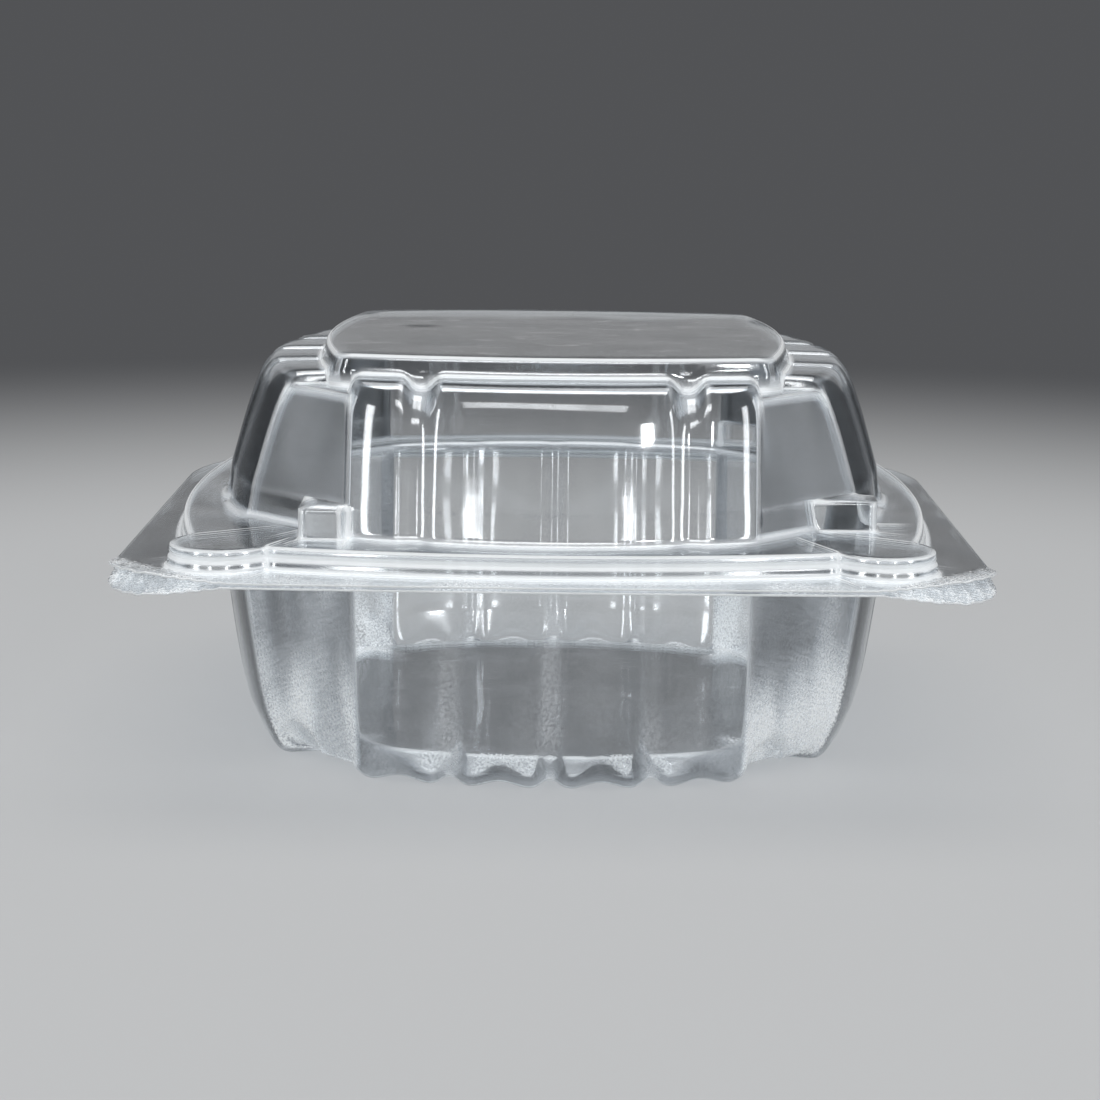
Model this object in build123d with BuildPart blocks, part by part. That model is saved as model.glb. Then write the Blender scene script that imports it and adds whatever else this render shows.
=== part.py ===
from build123d import *
import math
import os

os.makedirs("parts", exist_ok=True)

# Sheet and overall sizes
sheet = 0.35
overall_height = 76.0
parting_height = 40.8
flange_gap = 0.4
bead_clearance = 0.3

# Flange outline
flange_half_width = 76.5
flange_front = 77.5
flange_front_shoulder = 75.8
flange_rear = 76.2
front_corner_radius = 14.0
rear_corner_radius = 42.0
tab_bend_distance = 92.5
tab_tilt = 10.0

# Locking bead round the rim
bead_height = 4.5
bead_half_width = 70.3
bead_corner = 62.0
bead_front_radius = 14.0
bead_rear_radius = 24.0
bead_draft = 0.6
button_radius = 9.0
button_x = 57.5
button_y = 60.0

# Side panels and their ribs
panel_bow_radius = 99.0
panel_half_base = 35.6
panel_half_top = 36.4
panel_step = 1.2
rib_pitch = 18.0
rib_count = 4
base_rib_depth = 1.1
lid_rib_depth = 1.5
valley_half_width = 2.0
valley_edge_share = 0.55
front_valley_offset = 23.7

# Base tray
base_foot_reach = 55.3
foot_edge_reach = 57.6
foot_edge_height = 2.6
base_low_reach = 60.2
base_low_height = 9.0
base_rim_reach = 65.6
floor_height = 3.5
floor_half = 47.0
floor_corner = 38.5
floor_corner_radius = 9.0
floor_draft = 1.4
arch_rise = 1.2
arch_half_width = 3.9
cusp_rise = 2.0
cusp_half_width = 2.4
corner_lift = 2.2
nest_arch_width = 10.5
nest_arch_height = 7.8
nest_arch_depth = 1.6
nest_arch_shift = 4.6

# Lid dome
dome_foot_reach = 63.6
dome_mid_reach = 60.1
dome_mid_rise = 17.0
dome_high_reach = 57.2
dome_high_rise = 23.4
dome_edge_reach = 55.2
dome_edge_rise = 26.0
dome_top_reach = 52.4
rib_crest_drop = 3.6
shoulder_drop = 5.8
shoulder_valley_half_width = 3.6
plateau_half = 44.0
plateau_corner = 39.4
plateau_corner_radius = 4.5
plateau_draft = 1.0
plateau_edge_drop = 1.3
plateau_edge_width = 1.0
lug_width = 9.0
lug_height = 5.6
lug_inner = 35.5
lug_reach = 58.2
lug_root = 46.0

# Living hinge film
hinge_length = 66.0
hinge_reach = flange_front - flange_rear

# Heights that follow from the sizes above
base_flange_bottom = parting_height - flange_gap / 2 - sheet
base_rim_height = base_flange_bottom + bead_height
lid_flange_bottom = parting_height + flange_gap / 2
lid_rim_height = base_rim_height + bead_clearance + sheet
crest_height = overall_height - rib_crest_drop
shoulder_height = overall_height - shoulder_drop
base_bead_half = bead_half_width - sheet - bead_clearance

through_length = 2 * (flange_half_width + flange_front)
quarter_turns = (0.0, 90.0, 180.0, 270.0)

rib_centres = [rib_pitch * (index - (rib_count - 1) / 2) for index in range(rib_count)]
side_valleys = [rib_pitch * (index - rib_count / 2) for index in range(1, rib_count)]
end_valleys = [-front_valley_offset, front_valley_offset]

base_profile = [
    (base_foot_reach, 0.0),
    (foot_edge_reach, foot_edge_height),
    (base_low_reach, base_low_height),
    (base_rim_reach, base_rim_height),
]
dome_profile = [
    (dome_foot_reach, lid_rim_height),
    (dome_mid_reach, lid_rim_height + dome_mid_rise),
    (dome_high_reach, lid_rim_height + dome_high_rise),
    (dome_edge_reach, lid_rim_height + dome_edge_rise),
    (dome_top_reach, crest_height),
]
plateau_levels = [
    (shoulder_height - shoulder_drop, plateau_draft),
    (overall_height - plateau_edge_drop, 0.0),
    (overall_height, -plateau_edge_width),
]


def inner_profile(profile, closed_at_start):
    """Wall profile one sheet thickness further in, with mitred corners."""
    if closed_at_start:
        points = [(0.0, profile[0][1]), *profile]
    else:
        points = [*profile, (0.0, profile[-1][1])]
    normals = []
    for (reach_a, height_a), (reach_b, height_b) in zip(points, points[1:]):
        length = math.hypot(reach_b - reach_a, height_b - height_a)
        normals.append((-(height_b - height_a) / length, (reach_b - reach_a) / length))
    moved = []
    for index, (reach, height) in enumerate(points):
        before = normals[max(index - 1, 0)]
        after = normals[min(index, len(normals) - 1)]
        scale = sheet / (1 + before[0] * after[0] + before[1] * after[1])
        moved.append((reach + scale * (before[0] + after[0]), height + scale * (before[1] + after[1])))
    return moved[1:] if closed_at_start else moved[:-1]


def panel_outline(height, reach, half, rib_depth, valleys_by_side, inset):
    """Closed outline at one height: four bowed, ribbed panels joined by flat corner facets."""
    bow = panel_bow_radius - inset
    half = half - inset
    facet = (reach + inset) + (half + inset) - panel_step - bow_sag(half + inset, bow + inset)
    facet_end = facet - inset * math.sqrt(2) - half

    def crest(x):
        return -(reach - bow_sag(x, bow))

    with BuildSketch(Plane.XY.offset(height)) as outline:
        with BuildLine():
            last = None
            for side in range(4):
                turn = 90.0 * side
                marks = [-half, *valleys_by_side[side % 2], half]
                start = spot(-half, -facet_end, turn)
                if last:
                    Line(last, start)
                shallow = valley_edge_share * rib_depth
                Line(start, spot(-half, crest(half) + shallow, turn))
                for left, right in zip(marks, marks[1:]):
                    rib_left = left + (valley_half_width if left > -half else 0.0)
                    rib_right = right - (valley_half_width if right < half else 0.0)
                    middle = (rib_left + rib_right) / 2
                    ThreePointArc(
                        spot(rib_left, crest(rib_left) + shallow, turn),
                        spot(middle, crest(middle), turn),
                        spot(rib_right, crest(rib_right) + shallow, turn),
                    )
                    if right < half:
                        next_left = right + valley_half_width
                        Polyline(
                            spot(rib_right, crest(rib_right) + shallow, turn),
                            spot(right, crest(right) + rib_depth, turn),
                            spot(next_left, crest(next_left) + shallow, turn),
                        )
                last = spot(half, -facet_end, turn)
                Line(spot(half, crest(half) + shallow, turn), last)
            Line(last, spot(-half, -facet_end, 0.0))
        make_face()
    return outline.sketch


def bow_sag(x, radius):
    """How far a bowed panel falls back at a distance x from its middle."""
    return radius - math.sqrt(radius**2 - x**2)


def arc_radius(rise, half_width):
    """Radius of an arc from its rise and half its width."""
    return (half_width**2 + rise**2) / (2 * rise)


def spot(x, y, turn):
    """Point of the front side turned to another side of the pack."""
    return Vector(x, y).rotate(Axis.Z, turn)


def side_place(x, y, height, turn):
    """Place of the front side, at a height, turned to another side of the pack."""
    return Location(spot(x, y, turn) + Vector(0, 0, height), (0, 0, turn))


def bowed_square(height, half, corner, front_radius, rear_radius):
    """Square with four outward bowed sides and rounded corners."""
    with BuildSketch(Plane.XY.offset(height)) as outline:
        with BuildLine():
            for side in range(4):
                ThreePointArc(
                    spot(-corner, -corner, 90.0 * side),
                    spot(0.0, -half, 90.0 * side),
                    spot(corner, -corner, 90.0 * side),
                )
        make_face()
        fillet(outline.vertices().filter_by_position(Axis.Y, -2 * corner, 0.0), front_radius)
        fillet(outline.vertices().group_by(Axis.Y)[-1], rear_radius)
    return outline.sketch


def bead_block(bottom, half, top):
    """Solid under the bead's outer faces, with a round button at each front corner."""
    foot = bead_draft * (top - bottom) / bead_height
    grow = half - bead_half_width
    with BuildPart() as block:
        loft(
            sections=[
                bowed_square(
                    level,
                    half + slope,
                    bead_corner + grow + slope,
                    bead_front_radius,
                    bead_rear_radius,
                )
                for level, slope in ((bottom, foot), (top, 0.0))
            ],
            ruled=True,
        )
        with Locations((-button_x, -button_y, bottom), (button_x, -button_y, bottom)):
            Cone(
                button_radius + grow + foot,
                button_radius + grow,
                top - bottom,
                align=(Align.CENTER, Align.CENTER, Align.MIN),
            )
    return block.part


def flange_outline():
    """Flange in plan, with a bowed front edge and straight sides."""
    with BuildSketch() as face:
        with BuildLine():
            left_front = (-flange_half_width, -flange_front_shoulder)
            right_front = (flange_half_width, -flange_front_shoulder)
            ThreePointArc(left_front, (0, -flange_front), right_front)
            Polyline(
                right_front,
                (flange_half_width, flange_rear),
                (-flange_half_width, flange_rear),
                left_front,
            )
        make_face()
        fillet(face.vertices().group_by(Axis.Y)[0], front_corner_radius)
        fillet(face.vertices().group_by(Axis.Y)[-1], rear_corner_radius)
    return face.sketch


def flange_plate(bottom, tilt):
    """Flange with its two front corner tabs bent out of the flat by the tilt angle."""
    tab_size = 2 * front_corner_radius
    with BuildPart() as flange:
        with BuildSketch(Plane.XY.offset(bottom)):
            add(flange_outline())
            for turn in (-45.0, 45.0):
                with Locations(side_place(0, -tab_bend_distance, 0, turn)):
                    Rectangle(2 * tab_size, tab_size, align=(Align.CENTER, Align.MAX), mode=Mode.SUBTRACT)
        extrude(amount=sheet)
    for turn in (-45.0, 45.0):
        with BuildPart() as tab:
            with BuildSketch(Plane.XY.offset(bottom)):
                add(flange_outline())
                with Locations(side_place(0, -tab_bend_distance, 0, turn)):
                    Rectangle(2 * tab_size, tab_size, align=(Align.CENTER, Align.MAX), mode=Mode.INTERSECT)
            extrude(amount=sheet)
        bend_height = bottom if tilt > 0 else bottom + sheet
        bend = Axis(spot(0, -tab_bend_distance, turn) + Vector(0, 0, bend_height), spot(1, 0, turn))
        flange.part += tab.part.rotate(bend, -tilt)
    return flange.part


def tub_body(inset):
    """Tray body under its outer faces, or under its inner faces when inset by the sheet."""
    profile = base_profile
    if inset:
        profile = inner_profile(base_profile, True)
        profile.append((profile[-1][0], base_rim_height + sheet))
    arch_round = arc_radius(arch_rise, arch_half_width)
    cusp_slant = math.hypot(cusp_rise, cusp_half_width)
    cusp_height = cusp_rise + inset * cusp_slant / cusp_half_width
    cusp_reach = cusp_half_width + inset * cusp_slant / cusp_rise
    with BuildPart() as tub:
        loft(
            sections=[
                panel_outline(
                    height, reach, panel_half_base, base_rib_depth, (side_valleys, side_valleys), inset
                )
                for reach, height in profile
            ],
            ruled=True,
        )
        loft(
            sections=[
                bowed_square(
                    level,
                    floor_half + inset + slope,
                    floor_corner + inset + slope,
                    floor_corner_radius + inset,
                    floor_corner_radius + inset,
                )
                for level, slope in ((0.0, floor_draft), (floor_height + inset, 0.0))
            ],
            ruled=True,
            mode=Mode.SUBTRACT,
        )
        for turn in (0.0, 90.0):
            for along in rib_centres:
                with Locations(side_place(along, 0, arch_rise - arch_round, turn)):
                    Cylinder(arch_round + inset, through_length, rotation=(90, 0, 0), mode=Mode.SUBTRACT)
            across = Plane(spot(0, 0, turn), x_dir=spot(1, 0, turn), z_dir=spot(0, -1, turn))
            with BuildSketch(across):
                for along in side_valleys:
                    with BuildLine():
                        Polyline(
                            (along - cusp_reach, 0),
                            (along, cusp_height),
                            (along + cusp_reach, 0),
                            close=True,
                        )
                    make_face()
            extrude(amount=through_length / 2, both=True, mode=Mode.SUBTRACT)
        edge = panel_half_base - inset
        for turn in quarter_turns:
            with Locations(side_place(edge, edge, 0, turn)):
                Box(
                    through_length,
                    through_length,
                    corner_lift + inset,
                    align=Align.MIN,
                    mode=Mode.SUBTRACT,
                )
        for turn in quarter_turns:
            add(nest_arch(turn + 45.0, inset), mode=Mode.SUBTRACT)
    return tub.part


def nest_arch(turn, inset):
    """Arched niche low in one corner facet, which keeps stacked trays from jamming."""
    radius = nest_arch_width / 2
    face = (base_foot_reach + panel_half_base - panel_step) / math.sqrt(2)
    face -= bow_sag(panel_half_base, panel_bow_radius) / math.sqrt(2) + nest_arch_depth
    wall = Plane(
        spot(nest_arch_shift, inset - face, turn),
        x_dir=spot(1, 0, turn),
        z_dir=spot(0, -1, turn),
    )
    with BuildPart() as niche:
        with BuildSketch(wall):
            with Locations((0, nest_arch_height - radius)):
                Circle(radius + inset)
            Rectangle(
                2 * (radius + inset), nest_arch_height - radius, align=(Align.CENTER, Align.MIN)
            )
        extrude(amount=face)
    return niche.part


def dome_body(inset):
    """Lid dome under its outer faces, or under its inner faces when inset by the sheet."""
    profile = dome_profile
    if inset:
        profile = inner_profile(dome_profile, False)
        profile.insert(0, (profile[0][0], lid_rim_height - 2 * sheet))
    groove_radius = arc_radius(crest_height - shoulder_height, shoulder_valley_half_width)
    with BuildPart() as dome:
        loft(
            sections=[
                panel_outline(
                    height, reach, panel_half_top, lid_rib_depth, (end_valleys, side_valleys), inset
                )
                for reach, height in profile
            ],
            ruled=True,
        )
        for turn, valleys in ((0.0, end_valleys), (90.0, side_valleys)):
            for along in valleys:
                with Locations(side_place(along, 0, shoulder_height + groove_radius, turn)):
                    Cylinder(groove_radius + inset, through_length, rotation=(90, 0, 0), mode=Mode.SUBTRACT)
        edge = panel_half_top - inset
        for turn in quarter_turns:
            with Locations(side_place(edge, edge, shoulder_height - inset, turn)):
                Box(through_length, through_length, overall_height, align=Align.MIN, mode=Mode.SUBTRACT)
        loft(
            sections=[
                bowed_square(
                    level - inset,
                    plateau_half - inset + slope,
                    plateau_corner - inset + slope,
                    plateau_corner_radius,
                    plateau_corner_radius,
                )
                for level, slope in plateau_levels
            ],
            ruled=True,
        )
        for turn in quarter_turns:
            with Locations(side_place(-lug_inner, -lug_root, lid_rim_height - 2 * inset, turn)):
                Box(
                    lug_width - inset,
                    lug_reach - lug_root - inset,
                    lug_height + inset,
                    align=(Align.MAX, Align.MAX, Align.MIN),
                )
    return dome.part


# Base tray: tub, raised bead, flat flange and two bent corner tabs
with BuildPart() as base_tray:
    add(flange_plate(base_flange_bottom, -tab_tilt))
    add(bead_block(base_flange_bottom, base_bead_half, base_rim_height))
    add(
        bead_block(base_flange_bottom - sheet, base_bead_half - sheet, base_rim_height - sheet),
        mode=Mode.SUBTRACT,
    )
    add(tub_body(0.0))
    add(tub_body(sheet), mode=Mode.SUBTRACT)
base_tray.part.label = "base_tray"
export_step(base_tray.part, "parts/base_tray.step")

# Lid: ribbed dome with a raised plateau, over a bead that caps the bead of the tray
with BuildPart() as lid:
    add(flange_plate(lid_flange_bottom, tab_tilt))
    add(bead_block(lid_flange_bottom, bead_half_width, lid_rim_height))
    add(
        bead_block(lid_flange_bottom - sheet, bead_half_width - sheet, lid_rim_height - sheet),
        mode=Mode.SUBTRACT,
    )
    add(dome_body(0.0))
    add(dome_body(sheet), mode=Mode.SUBTRACT)
lid.part.label = "lid"
export_step(lid.part, "parts/lid.step")

# Living hinge: a folded film loop behind the two flanges
with BuildPart() as living_hinge:
    loop_radius = (lid_flange_bottom + sheet - base_flange_bottom) / 2
    with BuildSketch(Plane.YZ.offset(-hinge_length / 2)):
        with Locations((flange_rear + hinge_reach - loop_radius, parting_height)):
            Circle(loop_radius)
            Rectangle(hinge_reach - loop_radius, 2 * loop_radius, align=(Align.MAX, Align.CENTER))
            Circle(loop_radius - sheet, mode=Mode.SUBTRACT)
            Rectangle(
                hinge_reach - loop_radius,
                2 * (loop_radius - sheet),
                align=(Align.MAX, Align.CENTER),
                mode=Mode.SUBTRACT,
            )
    extrude(amount=hinge_length)
living_hinge.part.label = "living_hinge"
export_step(living_hinge.part, "parts/living_hinge.step")
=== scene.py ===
"""Looks of a clear, hinged, thermoformed food pack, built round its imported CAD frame."""

import logging
import math
from dataclasses import dataclass
from enum import Enum
from typing import Any, Iterable, Optional, Sequence, Union

import bpy
import numpy as np
from mathutils import Matrix, Vector


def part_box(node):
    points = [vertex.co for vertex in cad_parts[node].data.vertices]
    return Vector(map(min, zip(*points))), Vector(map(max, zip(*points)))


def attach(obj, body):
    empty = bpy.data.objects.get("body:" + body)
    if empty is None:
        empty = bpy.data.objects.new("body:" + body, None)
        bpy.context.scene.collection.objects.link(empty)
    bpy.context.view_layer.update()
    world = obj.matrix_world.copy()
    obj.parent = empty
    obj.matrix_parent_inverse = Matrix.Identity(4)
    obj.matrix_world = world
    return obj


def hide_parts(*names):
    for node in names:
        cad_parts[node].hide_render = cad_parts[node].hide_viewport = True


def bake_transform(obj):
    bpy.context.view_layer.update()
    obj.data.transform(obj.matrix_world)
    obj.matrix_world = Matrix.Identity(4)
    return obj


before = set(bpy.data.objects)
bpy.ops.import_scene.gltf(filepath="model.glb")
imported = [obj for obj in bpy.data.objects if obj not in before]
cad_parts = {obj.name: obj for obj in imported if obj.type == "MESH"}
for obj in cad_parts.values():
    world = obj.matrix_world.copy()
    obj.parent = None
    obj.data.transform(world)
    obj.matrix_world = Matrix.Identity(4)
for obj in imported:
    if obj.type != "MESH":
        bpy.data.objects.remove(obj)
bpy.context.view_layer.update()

LOG = logging.getLogger("clear_pack")
MM = 0.001
QUARTER = math.pi / 2
SIDES = 4
FRONT_CORNERS = (0, 3)
CORNER_POINTS = 42
SIDE_POINTS = 260


class Finish(Enum):
    """Where a finish is used on the pack."""

    SHEET = "clear_sheet"
    LID_SHEET = "clear_sheet_lid"
    FILM = "clear_film"
    CUT_EDGE = "cut_edge"


class Val:
    """A node socket that can be used in arithmetic."""

    def __init__(self, net: "Net", socket: bpy.types.NodeSocket) -> None:
        """Wraps one output socket of a material.

        Args:
            net: The material's nodes.
            socket: The output that is wrapped.
        """
        self.net = net
        self.socket = socket

    def _math(self, operation: str, *values: Union["Val", float]) -> "Val":
        """Adds one Math node.

        Args:
            operation: The node's operation.
            values: Its inputs, in order.

        Returns:
            The node's result.
        """
        return self.net.node("ShaderNodeMath", {"operation": operation}, dict(enumerate(values)))

    def __add__(self, other: Union["Val", float]) -> "Val":
        """Sum."""
        return self._math("ADD", self, other)

    def __radd__(self, other: float) -> "Val":
        """Sum with a number on the left."""
        return self._math("ADD", other, self)

    def __sub__(self, other: Union["Val", float]) -> "Val":
        """Difference."""
        return self._math("SUBTRACT", self, other)

    def __rsub__(self, other: float) -> "Val":
        """Difference with a number on the left."""
        return self._math("SUBTRACT", other, self)

    def __mul__(self, other: Union["Val", float]) -> "Val":
        """Product."""
        return self._math("MULTIPLY", self, other)

    def __rmul__(self, other: float) -> "Val":
        """Product with a number on the left."""
        return self._math("MULTIPLY", other, self)

    def absolute(self) -> "Val":
        """Size without sign."""
        return self._math("ABSOLUTE", self)

    def larger(self, other: Union["Val", float]) -> "Val":
        """The larger of two values."""
        return self._math("MAXIMUM", self, other)

    def smaller(self, other: Union["Val", float]) -> "Val":
        """The smaller of two values."""
        return self._math("MINIMUM", self, other)

    def ramp(self, low: float, high: float) -> "Val":
        """Smooth step from 0 at low to 1 at high.

        Args:
            low: Value where the step starts.
            high: Value where it ends.

        Returns:
            The stepped value.
        """
        settings = {"interpolation_type": "SMOOTHSTEP"}
        return self.net.node("ShaderNodeMapRange", settings, {0: self, 1: low, 2: high, 3: 0.0, 4: 1.0})


class Net:
    """The nodes of one material."""

    def __init__(self, name: str) -> None:
        """Makes an empty node material.

        Args:
            name: The material's name.
        """
        self.material = bpy.data.materials.new(name)
        self.material.use_nodes = True
        self.tree = self.material.node_tree
        self.tree.nodes.clear()

    @classmethod
    def of_tree(cls, tree: bpy.types.NodeTree) -> "Net":
        """Wraps a node tree that isn't a material's.

        Args:
            tree: The tree, which is emptied.

        Returns:
            The wrapped nodes.
        """
        net = cls.__new__(cls)
        net.tree = tree
        tree.nodes.clear()
        return net

    def node(
        self,
        kind: str,
        settings: Optional[dict[str, Any]] = None,
        inputs: Optional[dict[Union[int, str], Any]] = None,
        output: Union[int, str] = 0,
    ) -> Val:
        """Adds a node, sets it up and feeds its sockets.

        Args:
            kind: The node's type.
            settings: Its own settings, set before its sockets.
            inputs: Values or links by socket number or name.
            output: The output socket that is returned.

        Returns:
            The chosen output.
        """
        made = self.tree.nodes.new(kind)
        for name, value in (settings or {}).items():
            setattr(made, name, value)
        for key, value in (inputs or {}).items():
            if isinstance(value, Val):
                self.tree.links.new(value.socket, made.inputs[key])
            else:
                made.inputs[key].default_value = value
        return Val(self, made.outputs[output]) if made.outputs else Val(self, None)

    def place(self) -> Val:
        """Coordinates of the surface in the object's own frame."""
        return self.node("ShaderNodeTexCoord", output="Object")

    def noise(self, place: Val, scale: float, detail: float = 2.0, stretch: Optional[tuple] = None) -> Val:
        """Smooth random value from 0 to 1.

        Args:
            place: Where the noise is read.
            scale: Cells for each metre.
            detail: Number of finer layers.
            stretch: Factors along the three axes.

        Returns:
            The noise value.
        """
        if stretch:
            place = self.node("ShaderNodeVectorMath", {"operation": "MULTIPLY"}, {0: place, 1: stretch})
        return self.node("ShaderNodeTexNoise", None, {"Vector": place, "Scale": scale, "Detail": detail})

    def mask(self, name: str) -> Val:
        """Value that the mesh carries at each point.

        Args:
            name: The mesh attribute's name.

        Returns:
            The value.
        """
        return self.node("ShaderNodeAttribute", {"attribute_name": name}, output="Fac")

    def bump(self, height: Val, distance: float, strength: float) -> Val:
        """Normal of a surface raised by a height.

        Args:
            height: Height from 0 to 1.
            distance: Its size in metres.
            strength: How much of it shows.

        Returns:
            The normal.
        """
        return self.node(
            "ShaderNodeBump", None, {"Height": height, "Distance": distance, "Strength": strength}
        )

    def mix(self, factor: Val, first: Any, second: Any) -> Val:
        """Colour between two colours.

        Args:
            factor: Share of the second colour.
            first: Colour or link at 0.
            second: Colour or link at 1.

        Returns:
            The mixed colour.
        """
        return self.node("ShaderNodeMix", {"data_type": "RGBA"}, {0: factor, 6: first, 7: second}, output=2)

    def shade(
        self, factor: Val, clear: Val, body: Val, shadow: Optional[Val] = None
    ) -> bpy.types.Material:
        """Ends the material with a mix of a clear and a solid shader.

        Args:
            factor: Share of the solid shader.
            clear: The clear shader.
            body: The solid shader.
            shadow: Plain clear shader that shadows are worked out with.

        Returns:
            The finished material.
        """
        mixed = self.node("ShaderNodeMixShader", None, {0: factor, 1: clear, 2: body})
        if shadow:
            in_shadow = self.node("ShaderNodeLightPath", output="Is Shadow Ray")
            mixed = self.node("ShaderNodeMixShader", None, {0: in_shadow, 1: mixed, 2: shadow})
        self.node("ShaderNodeOutputMaterial", None, {0: mixed})
        return self.material


@dataclass(frozen=True)
class ClearPlastic:
    """Clear formed sheet: mirror gloss at a glance, frost where the mould was rough, and sharp bends
    whitened as a painted highlight.
    """

    name: str
    gloss: float = 1.0
    veil: float = 0.020
    frost_reach: float = 0.78
    # Painted highlight: how far sharp bends are whitened and clouded, whatever the lamps.
    painted_crease_highlight: float = 0.85
    scratch_share: float = 0.45
    ior: float = 1.50
    tint: tuple = (0.982, 0.987, 0.990, 1.0)
    shadow_tint: tuple = (0.945, 0.95, 0.955, 1.0)
    body: tuple = (0.90, 0.925, 0.95, 1.0)
    frost_colour: tuple = (0.93, 0.95, 0.96, 1.0)
    gloss_roughness: float = 0.065
    frost_roughness: float = 0.42
    wave_scale: float = 55.0
    wave_depth: float = 0.0011
    wave_strength: float = 0.35
    grain_scale: float = 2200.0
    streak_scale: float = 110.0
    streak_stretch: tuple = (1.0, 1.0, 0.25)
    streak_share: float = 0.8
    plain_share: float = 0.35
    fine_share: float = 0.45
    metal_loss: float = 1.1
    most_solid: float = 0.97
    line_scale: float = 60.0
    line_stretch: tuple = (1.0, 4.0, 1.0)
    line_level: float = 0.62
    line_sharpness: float = 70.0

    def make(self) -> bpy.types.Material:
        """Builds the material.

        Returns:
            The finished material.
        """
        net = Net(self.name)
        place = net.place()
        streaks = net.noise(place, self.streak_scale, 1.0, self.streak_stretch).ramp(0.36, 0.70)
        grain = net.noise(place, self.grain_scale, 0.0)
        rough = net.mask("frost")
        streaked = self.plain_share + self.streak_share * streaks
        frost = rough * streaked * (self.fine_share + grain.ramp(0.40, 0.66))
        crease = net.mask("crease")
        # Painted highlight: sharp bends join the frost, so they read as bright lines under any lamp.
        frost = frost.larger(crease * self.painted_crease_highlight).smaller(1.0)
        waves = net.noise(place, self.wave_scale, 0.0)
        uneven = net.bump(waves, self.wave_depth, self.wave_strength)
        facing = net.node("ShaderNodeFresnel", None, {"IOR": self.ior, "Normal": uneven})
        share = facing * self.gloss + self.veil * (0.6 + streaks) + frost * self.frost_reach
        share = share + self.scratches(net, place) * self.scratch_share
        roughness = self.gloss_roughness + (self.frost_roughness - self.gloss_roughness) * frost
        body = net.node(
            "ShaderNodeBsdfPrincipled",
            None,
            {
                "Base Color": net.mix(frost, self.body, self.frost_colour),
                "Roughness": roughness,
                "Metallic": (1.0 - frost * self.metal_loss).larger(0.0),
                "Normal": uneven,
            },
        )
        clear = net.node("ShaderNodeBsdfTransparent", None, {"Color": self.tint})
        shadow = net.node("ShaderNodeBsdfTransparent", None, {"Color": self.shadow_tint})
        return net.shade(share.smaller(self.most_solid), clear, body, shadow)

    def scratches(self, net: Net, place: Val) -> Val:
        """Short faint scratches on the flat faces.

        Args:
            net: The material's nodes.
            place: Where they are read.

        Returns:
            Scratch strength from 0 to 1.
        """
        lines = net.noise(place, self.line_scale, 1.0, self.line_stretch)
        line = 1.0 - ((lines - self.line_level).absolute() * self.line_sharpness).smaller(1.0)
        return line * net.mask("scratch")


@dataclass(frozen=True)
class CutEdge:
    """Bright trimmed edge of the sheet, where light leaves it."""

    name: str
    share: float = 0.72
    colour: tuple = (0.94, 0.96, 0.97, 1.0)
    roughness: float = 0.28
    metal: float = 0.35
    nick_scale: float = 900.0
    nick_roughness: float = 0.2
    nick_share: float = 0.25

    def make(self) -> bpy.types.Material:
        """Builds the material.

        Returns:
            The finished material.
        """
        net = Net(self.name)
        nicks = net.noise(net.place(), self.nick_scale, 3.0)
        roughness = self.roughness + self.nick_roughness * nicks
        body = net.node(
            "ShaderNodeBsdfPrincipled",
            None,
            {"Base Color": self.colour, "Roughness": roughness, "Metallic": self.metal},
        )
        clear = net.node("ShaderNodeBsdfTransparent", None, {"Color": self.colour})
        return net.shade(self.share + self.nick_share * nicks, clear, body)


@dataclass(frozen=True)
class PaleGround:
    """Plain pale floor that fades into the plain backdrop far from the pack."""

    name: str
    colour: tuple
    far_colour: tuple
    fade_start: float = 0.20
    fade_end: float = 0.62

    def make(self) -> bpy.types.Material:
        """Builds the material.

        Returns:
            The finished material.
        """
        net = Net(self.name)
        place = net.place()
        distance = net.node("ShaderNodeVectorMath", {"operation": "LENGTH"}, {0: place}, output="Value")
        near = net.node("ShaderNodeBsdfDiffuse", None, {"Color": self.colour})
        far = net.node("ShaderNodeEmission", None, {"Color": self.far_colour, "Strength": 1.0})
        share = distance.ramp(self.fade_start, self.fade_end) * seen_ray(net)
        return net.shade(share, near, far)


def seen_ray(net: Net) -> Val:
    """Whether a ray shows the background: straight to the eye, mirrored or through glass.

    Args:
        net: The nodes that ask.

    Returns:
        1 for such a ray, else 0.
    """
    path = net.node("ShaderNodeLightPath", output="Is Camera Ray")
    outputs = path.socket.node.outputs
    mirrored = Val(net, outputs["Is Glossy Ray"]) + Val(net, outputs["Is Transmission Ray"])
    return (path + mirrored).smaller(1.0)


def turned(points: np.ndarray, quarter: int) -> np.ndarray:
    """Points turned about the pack's middle.

    Args:
        points: Rows of x and y.
        quarter: Number of quarter turns, to the left seen from above.

    Returns:
        The turned points.
    """
    angle = QUARTER * quarter
    cosine, sine = round(math.cos(angle)), round(math.sin(angle))
    return points @ np.array([[cosine, sine], [-sine, cosine]], float)


def arc_sag(x: np.ndarray, radius: float) -> np.ndarray:
    """How far an arc falls back at a distance from its middle.

    Args:
        x: Distances from the middle.
        radius: The arc's radius.

    Returns:
        The fall at each distance.
    """
    return radius - np.sqrt(radius**2 - x**2)


def trimmed(points: np.ndarray, start: float, end: float) -> np.ndarray:
    """Line of points with a length cut off at each end.

    Args:
        points: Rows of x and y.
        start: Length cut off at the start.
        end: Length cut off at the end.

    Returns:
        As many points on what is left.
    """
    run = np.concatenate([[0.0], np.cumsum(np.linalg.norm(np.diff(points, axis=0), axis=1))])
    keep = np.linspace(start, run[-1] - end, len(points))
    return np.stack([np.interp(keep, run, points[:, axis]) for axis in (0, 1)], axis=1)


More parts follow.
